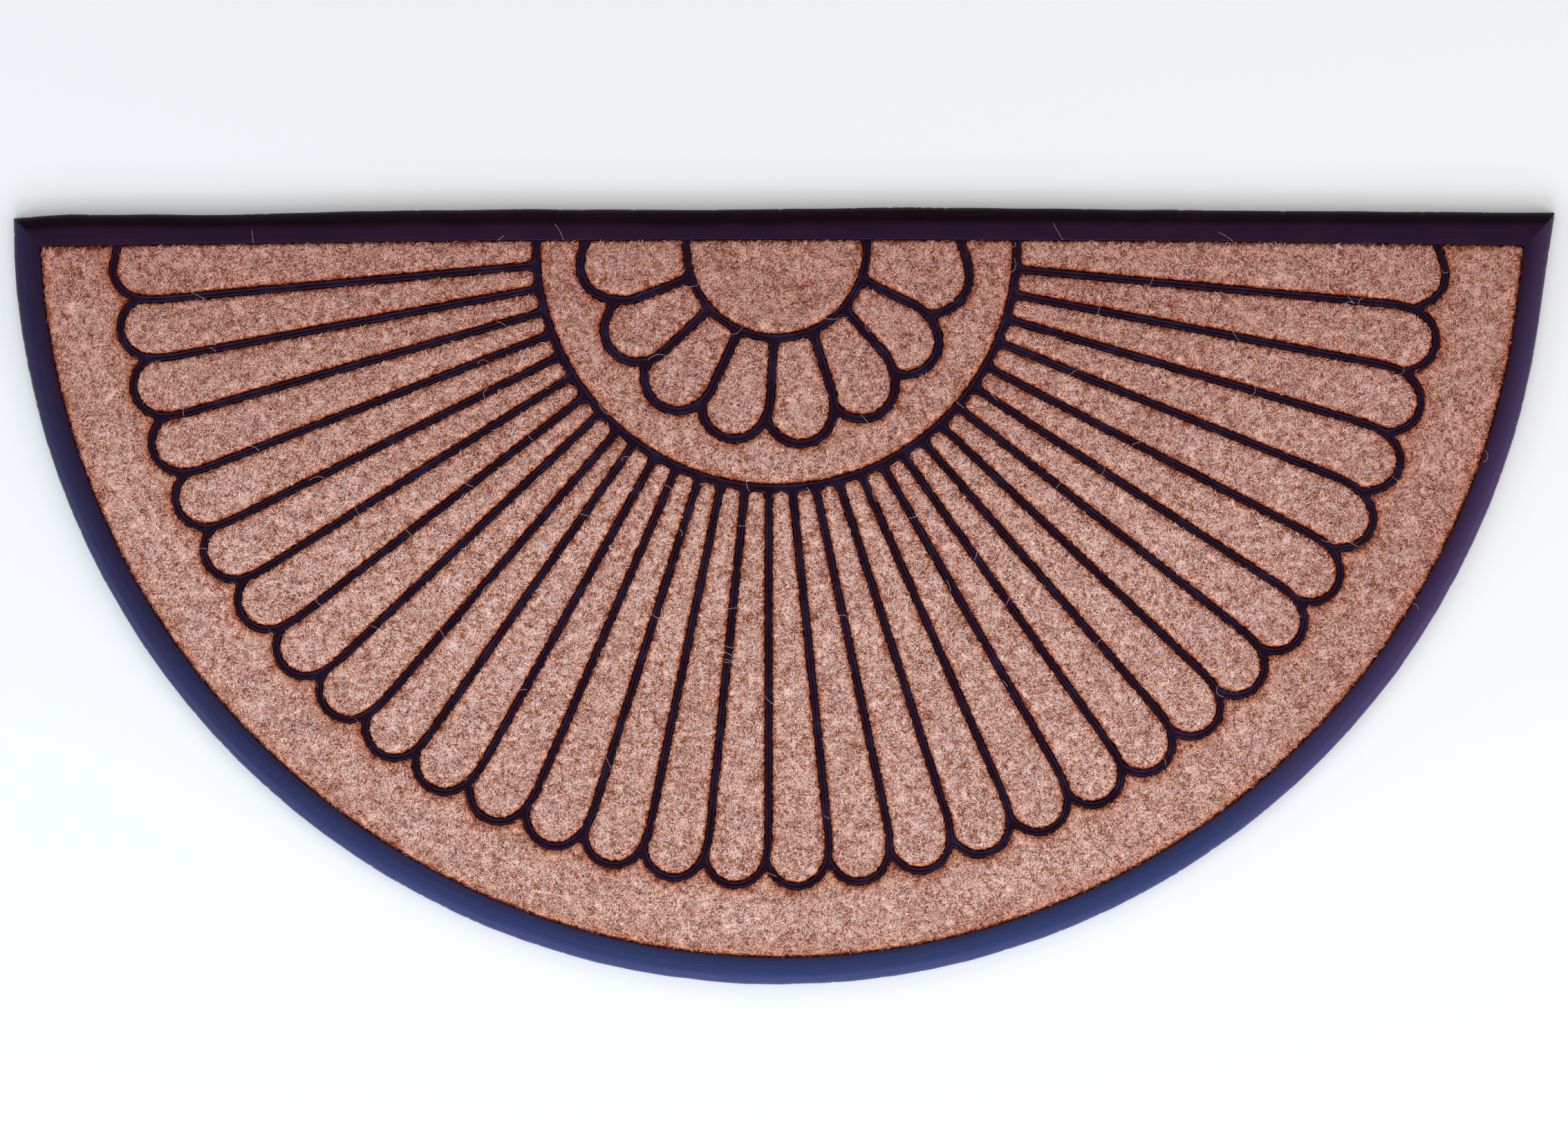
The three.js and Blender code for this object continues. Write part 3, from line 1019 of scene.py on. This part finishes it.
def give_values(mesh, name, values):
    """A value for every point of a mesh, under a name."""
    layer = mesh.attributes.new(name, "FLOAT", "POINT")
    layer.data.foreach_set("value", np.asarray(values, dtype=np.float32))


def roots_on(points, triangles, count, rng):
    """Even random places on the triangles."""
    a, b, c = (points[triangles[:, i]] for i in range(3))
    cross = (b - a)[:, 0] * (c - a)[:, 1] - (b - a)[:, 1] * (c - a)[:, 0]
    share = np.cumsum(np.abs(cross))
    chosen = np.searchsorted(share, rng.uniform(0, share[-1], count))
    u, v = rng.uniform(0, 1, (2, count, 1))
    over = u + v > 1
    u = np.where(over, 1 - u, u)
    v = np.where(over, 1 - v, v)
    return a[chosen] + u * (b - a)[chosen] + v * (c - a)[chosen]


def headings_over(line, roots, rises, lengths, rng):
    """Directions in plan: swirls with much scatter, and most fibres at the border lean back in."""
    flat = roots[:, :2]
    heading = sum(share * ripples(flat, length, rng) for length, share in SWIRLS)
    heading += rng.normal(0, HEADING_SCATTER, len(roots))
    reach = lengths * np.cos(rises)
    tips = flat + reach[:, None] * np.column_stack([np.cos(heading), np.sin(heading)])
    beyond = -depths(line, tips)
    back = (beyond > OVERHANG) | ((beyond > 0) & (rng.uniform(0, 1, len(roots)) < LEAN_BACK))
    return heading + np.pi * back


def fibre_frames(heading, rise):
    """Forward, sideways and upward directions of each fibre."""
    zero = np.zeros_like(heading)
    forward = np.column_stack([
        np.cos(heading) * np.cos(rise),
        np.sin(heading) * np.cos(rise),
        np.sin(rise),
    ])
    sideways = np.column_stack([-np.sin(heading), np.cos(heading), zero])
    return forward, sideways, np.cross(forward, sideways)


def straight_fibres(roots, frames, lengths, widths):
    """Points and faces of straight fibres: closed slivers from a flat root to an upright tip."""
    forward, sideways, upward = frames
    aside = sideways * widths[:, None] / 2
    over = upward * widths[:, None] / 4
    tips = roots + forward * lengths[:, None]
    corners = [roots - aside, roots + aside, tips - over, tips + over]
    return np.stack(corners, axis=1), [(0, 1, 2), (0, 3, 1), (0, 2, 3), (1, 3, 2)]


def bent_fibres(roots, frames, lengths, widths, rng):
    """Points and faces of bent fibres: closed spindles whose waist stands aside from the chord."""
    forward, sideways, upward = frames
    bow = rng.normal(0, BOW_SCATTER, (len(roots), 1)) * lengths[:, None]
    lift = rng.uniform(*LIFT_SHARES, (len(roots), 1)) * lengths[:, None]
    waist = roots + forward * lengths[:, None] * 0.5 + sideways * bow + upward * lift
    corners = [roots]
    for i in range(3):
        angle = 2 * math.pi * i / 3 + math.pi / 2
        half = widths[:, None] / 2
        corners.append(waist + (sideways * math.cos(angle) + upward * math.sin(angle)) * half)
    corners.append(roots + forward * lengths[:, None])
    faces = []
    for i in range(3):
        here = 1 + i
        after = 1 + (i + 1) % 3
        faces += [(0, after, here), (4, here, after)]
    return np.stack(corners, axis=1), faces


def joined_mesh(name, points, faces, values):
    """One mesh of many like shapes, from the points, the faces and the values of each."""
    count, corners = points.shape[:2]
    starts = np.arange(count)[:, None, None] * corners
    triangles = (starts + np.array(faces)[None]).reshape(-1, 3)
    mesh = bpy.data.meshes.new(name)
    mesh.vertices.add(count * corners)
    mesh.vertices.foreach_set("co", points.astype(np.float32).ravel())
    mesh.loops.add(triangles.size)
    mesh.loops.foreach_set("vertex_index", triangles.astype(np.int32).ravel())
    mesh.polygons.add(len(triangles))
    mesh.polygons.foreach_set("loop_start", np.arange(0, triangles.size, 3, dtype=np.int32))
    mesh.update(calc_edges=True)
    for label, per_shape in values.items():
        give_values(mesh, label, np.repeat(per_shape, corners))
    return mesh


def add_fibres(bm, line, points, triangles, reach, rng):
    """The fibre ends of a pad, straight and bent, joined into its mesh."""
    choice = settings().pile
    count = round(area_of(line) / MM ** 2 * choice.fibres_per_area)
    roots = roots_on(points, triangles, count, rng)
    lengths = choice.fibre_length * np.clip(rng.normal(1, LENGTH_SCATTER, count), *LENGTH_LIMITS)
    widths = choice.fibre_width * rng.uniform(*WIDTH_SHARES, count)
    rises = np.radians(rng.uniform(*RISES, count))
    heading = headings_over(line, roots, rises, lengths, rng)
    depth = np.clip(depths(line, roots[:, :2]), 0, None)
    blotch = sum(share * ripples(roots[:, :2], length, rng) for length, share in BLOTCHES)
    tone = FIBRE_TONE + blotch + rng.normal(0, FIBRE_TONE_SCATTER, count)
    tone = np.clip(tone, 0, PALEST_TONE)
    # Painted shade along the ribs: its share on each fibre end
    brown = np.clip(np.exp(-depth / reach) * rng.uniform(*RIB_SHADE_SHARES, count), 0, 1)
    roots[:, 2] -= ROOT_DEPTH
    bent = rng.uniform(0, 1, count) < BENT_SHARE
    for kind in (False, True):
        these = bent == kind
        frames = fibre_frames(heading[these], rises[these])
        if kind:
            shapes, faces = bent_fibres(roots[these], frames, lengths[these], widths[these], rng)
        else:
            shapes, faces = straight_fibres(roots[these], frames, lengths[these], widths[these])
        mesh = joined_mesh("fibres", shapes, faces, {"tone": tone[these], "near_rib": brown[these]})
        bm.from_mesh(mesh)
        bpy.data.meshes.remove(mesh)


def make_pad(node):
    """One pad of coir, which stands for one frame node."""
    rng = np.random.default_rng(sum(ord(letter) for letter in node))
    line = softened(section(node, COMPARTMENT_CUT)[0], LINE_SPACING, PAD_SOFTENING)
    ragged = RAGGED * np.clip(ripples(line, RAGGED_WAVE, rng), *RAGGED_LIMITS)
    line += outward(line) * ragged[:, None]
    reach = RIB_SHADE_REACH.get(node, USUAL_RIB_SHADE_REACH)
    points, triangles, depth = pad_surface(line, rng)
    bm = pad_body(points, triangles, depth, reach, rng)
    add_fibres(bm, line, points, triangles, reach, rng)
    mesh = mesh_from(bm, f"coir_{node}", smooth=False)
    piece = piece_from(mesh.name, mesh, material_named("coir_pile", coir_material), "coir", node)


class DOORMAT_OT_long_petals(bpy.types.Operator):
    """Fill the long petals of the fan with coir"""

    bl_idname = "doormat.long_petals"
    bl_label = "Long Petals"

    def execute(self, context):
        for node in LONG_PETALS:
            make_pad(node)
        return {"FINISHED"}


class DOORMAT_OT_small_petals(bpy.types.Operator):
    """Fill the small petals round the hub with coir"""

    bl_idname = "doormat.small_petals"
    bl_label = "Small Petals"

    def execute(self, context):
        for node in SMALL_PETALS:
            make_pad(node)
        return {"FINISHED"}


class DOORMAT_OT_wide_pads(bpy.types.Operator):
    """Fill the hub, the ring and the field outside the scallops with coir"""

    bl_idname = "doormat.wide_pads"
    bl_label = "Hub, Ring and Outer Field"

    def execute(self, context):
        for node in WIDE_PADS:
            make_pad(node)
        return {"FINISHED"}


# Loose fibres

def stray_points(start, heading, length, turn):
    """Points of one loose fibre, which bends evenly in plan and lies a little above the ribs."""
    shares = np.linspace(0, 1, STRAY_STEPS)
    headings = heading + turn * shares
    steps = length / (STRAY_STEPS - 1) * np.column_stack([np.cos(headings), np.sin(headings)])
    flat = start + np.vstack([np.zeros((1, 2)), np.cumsum(steps[:-1], axis=0)])
    climb = np.sin(np.pi * np.clip(shares * STRAY_CLIMB, 0, STRAY_CREST))
    height = PAD_TOP + STRAY_START + (STRAY_HEIGHT - STRAY_START) * climb
    return np.column_stack([flat, height])


class DOORMAT_OT_stray_fibres(bpy.types.Operator):
    """Lay long loose fibres from the pads' edges across the ribs and the rim"""

    bl_idname = "doormat.stray_fibres"
    bl_label = "Stray Fibres"

    def execute(self, context):
        rng = np.random.default_rng(STRAY_SEED)
        pads = LONG_PETALS + SMALL_PETALS + WIDE_PADS
        lines = [section(node, COMPARTMENT_CUT)[0] for node in pads]
        lines = [along(line, round(length_of(line) / LINE_SPACING)) for line in lines]
        edge = np.vstack(lines)
        normals = np.vstack([outward(line) for line in lines])
        curve = bpy.data.curves.new("stray_fibres", "CURVE")
        curve.dimensions = "3D"
        curve.bevel_depth = STRAY_RADIUS
        curve.bevel_resolution = 0
        curve.use_fill_caps = True
        for at in rng.integers(0, len(edge), settings().pile.strays):
            heading = math.atan2(normals[at, 1], normals[at, 0]) + rng.normal(0, STRAY_SCATTER)
            length = rng.uniform(*STRAY_LENGTHS)
            points = stray_points(edge[at], heading, length, rng.normal(0, STRAY_TURN))
            spline = curve.splines.new("POLY")
            spline.points.add(len(points) - 1)
            for point, place in zip(spline.points, points):
                point.co = (*place, 1)
        holder = bpy.data.objects.new("stray_curve", curve)
        context.scene.collection.objects.link(holder)
        drawn = holder.evaluated_get(context.evaluated_depsgraph_get())
        tubes = bpy.data.meshes.new_from_object(drawn)
        bpy.data.objects.remove(holder)
        bm = bmesh.new()
        bm.from_mesh(tubes)
        bpy.data.meshes.remove(tubes)
        bmesh.ops.remove_doubles(bm, verts=bm.verts, dist=WELD)
        outwards(bm)
        mesh = mesh_from(bm, "stray_fibres")
        give_values(mesh, "tone", np.full(len(mesh.vertices), STRAY_TONE))
        give_values(mesh, "near_rib", np.zeros(len(mesh.vertices)))
        piece_from("stray_fibres", mesh, material_named("coir_pile", coir_material), "coir")
        return {"FINISHED"}


# Stage

def add_light(name, place, size, power, colour):
    """A soft area light that faces the middle of the mat."""
    light = bpy.data.lights.new(name, "AREA")
    light.shape = "RECTANGLE"
    light.size, light.size_y = size
    light.energy = power
    light.color = colour
    lamp = bpy.data.objects.new(name, light)
    lamp.location = place
    lamp.rotation_euler = (-Vector(place)).to_track_quat("-Z", "Y").to_euler()
    bpy.context.scene.collection.objects.link(lamp)


class DOORMAT_OT_stage(bpy.types.Operator):
    """Set the floor, the soft light and the camera straight above the mat"""

    bl_idname = "doormat.stage"
    bl_label = "Stage"

    def execute(self, context):
        choice = settings().stage
        scene = context.scene
        bm = bmesh.new()
        bmesh.ops.create_grid(bm, x_segments=1, y_segments=1, size=FLOOR_SIZE / 2)
        floor = bpy.data.objects.new("floor", mesh_from(bm, "floor"))
        floor.location.z = FLOOR - FLOOR_GAP
        scene.collection.objects.link(floor)
        finish = Finish("floor")
        finish.give("Base Color", FLOOR_COLOUR)
        finish.give("Roughness", FLOOR_ROUGHNESS)
        floor.data.materials.append(finish.material)

        for light in LIGHTS:
            power = light["share"] * choice.front_light
            add_light(light["name"], light["place"], light["size"], power, light["colour"])
        scene.world = bpy.data.worlds.new("sky")
        scene.world.use_nodes = True
        background = scene.world.node_tree.nodes["Background"]
        background.inputs["Color"].default_value = (1, 1, 1, 1)
        background.inputs["Strength"].default_value = choice.sky
        scene.view_settings.view_transform = "Standard"

        camera = bpy.data.cameras.new("camera")
        frame_width = (CAD_BOX[1][0] - CAD_BOX[0][0]) * PHOTO_WIDTH / MAT_PIXELS
        camera.sensor_width = SENSOR_WIDTH
        camera.lens = camera.sensor_width * choice.camera_height / frame_width
        viewer = bpy.data.objects.new("camera", camera)
        middle_y = (CAD_BOX[0][1] + CAD_BOX[1][1]) / 2
        above = MAT_BELOW_MIDDLE * frame_width / PHOTO_WIDTH
        viewer.location = ((CAD_BOX[0][0] + CAD_BOX[1][0]) / 2, middle_y + above, choice.camera_height)
        scene.collection.objects.link(viewer)
        scene.camera = viewer
        return {"FINISHED"}


class DoormatSettings(bpy.types.PropertyGroup):
    """All the settings of the doormat."""

    rubber: PointerProperty(type=RubberSettings)
    pile: PointerProperty(type=PileSettings)
    stage: PointerProperty(type=StageSettings)


class DOORMAT_PT_panel(bpy.types.Panel):
    """Settings and steps of the doormat in the sidebar"""

    bl_idname = "DOORMAT_PT_panel"
    bl_label = "Doormat"
    bl_space_type = "VIEW_3D"
    bl_region_type = "UI"
    bl_category = "Doormat"

    def draw(self, context):
        layout = self.layout
        for group in (settings().rubber, settings().pile, settings().stage):
            box = layout.box()
            for name in group.__annotations__:
                box.prop(group, name)
        for step in STEPS:
            layout.operator(step.bl_idname)


STEPS = (
    DOORMAT_OT_tray,
    DOORMAT_OT_long_petals,
    DOORMAT_OT_small_petals,
    DOORMAT_OT_wide_pads,
    DOORMAT_OT_stray_fibres,
    DOORMAT_OT_stage,
)
CLASSES = (RubberSettings, PileSettings, StageSettings, DoormatSettings, *STEPS, DOORMAT_PT_panel)


def register():
    """Make the settings, steps and panel known."""
    for item in CLASSES:
        bpy.utils.register_class(item)
    bpy.types.Scene.doormat = PointerProperty(type=DoormatSettings)


def unregister():
    """Take them away again."""
    del bpy.types.Scene.doormat
    for item in reversed(CLASSES):
        bpy.utils.unregister_class(item)


def main():
    """Build the whole mat and its stage."""
    register()
    bpy.ops.doormat.stage()
    bpy.ops.doormat.tray()
    bpy.ops.doormat.long_petals()
    bpy.ops.doormat.small_petals()
    bpy.ops.doormat.wide_pads()
    bpy.ops.doormat.stray_fibres()


if __name__ == "__main__":
    main()
